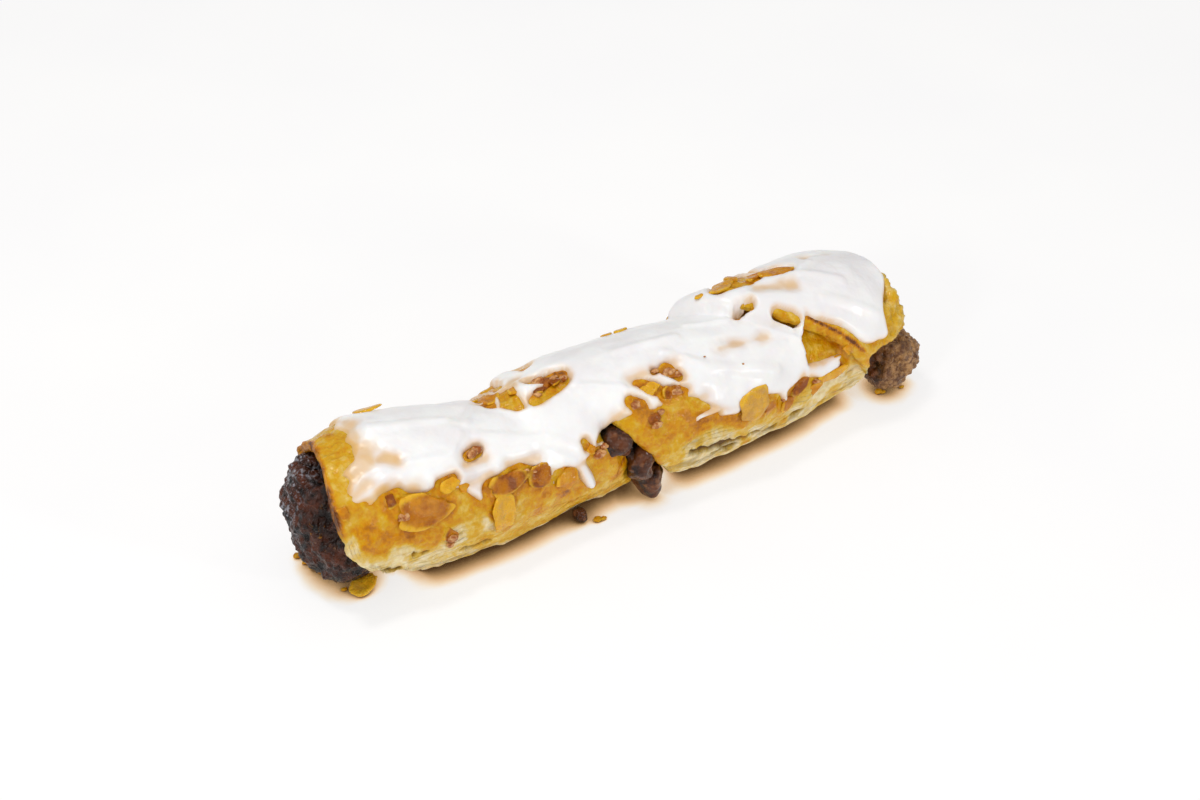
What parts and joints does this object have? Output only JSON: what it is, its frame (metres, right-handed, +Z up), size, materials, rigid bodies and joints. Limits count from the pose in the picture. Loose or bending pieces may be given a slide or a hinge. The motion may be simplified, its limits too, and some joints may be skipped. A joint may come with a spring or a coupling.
{
  "type": "pastry twist",
  "caption": "Twisted puff pastry stick wound round a dark nut filling, iced on top and strewn with sliced almonds.",
  "frame": {"origin": "middle of the whole footprint, on the surface that the twist stands on", "axes": "+X along the twist from its burnt end to its open end, +Y away from the side shown, +Z up"},
  "size_m": [0.1937, 0.0496, 0.0449],
  "materials": {
    "pastry": "baked puff pastry with an amber glaze, pale and flaky near its base",
    "filling": "dark nut filling, burnt and craggy at one end, glossy where it leaked",
    "icing": "poured sugar icing, white, satin to glossy, thin and see-through at its edges",
    "almond": "glazed toasted almond slices"
  },
  "bodies": {
    "root": {"pastry": "pastry", "filling": "filling", "icing": "icing", "almond_1": "almond", "almond_2": "almond", "almond_3": "almond", "almond_4": "almond", "almond_5": "almond", "almond_6": "almond", "almond_7": "almond", "almond_8": "almond", "almond_9": "almond", "almond_10": "almond", "almond_11": "almond", "almond_12": "almond", "almond_fallen": "almond", "drip_on_tray": "filling"}
  },
  "joints": []
}
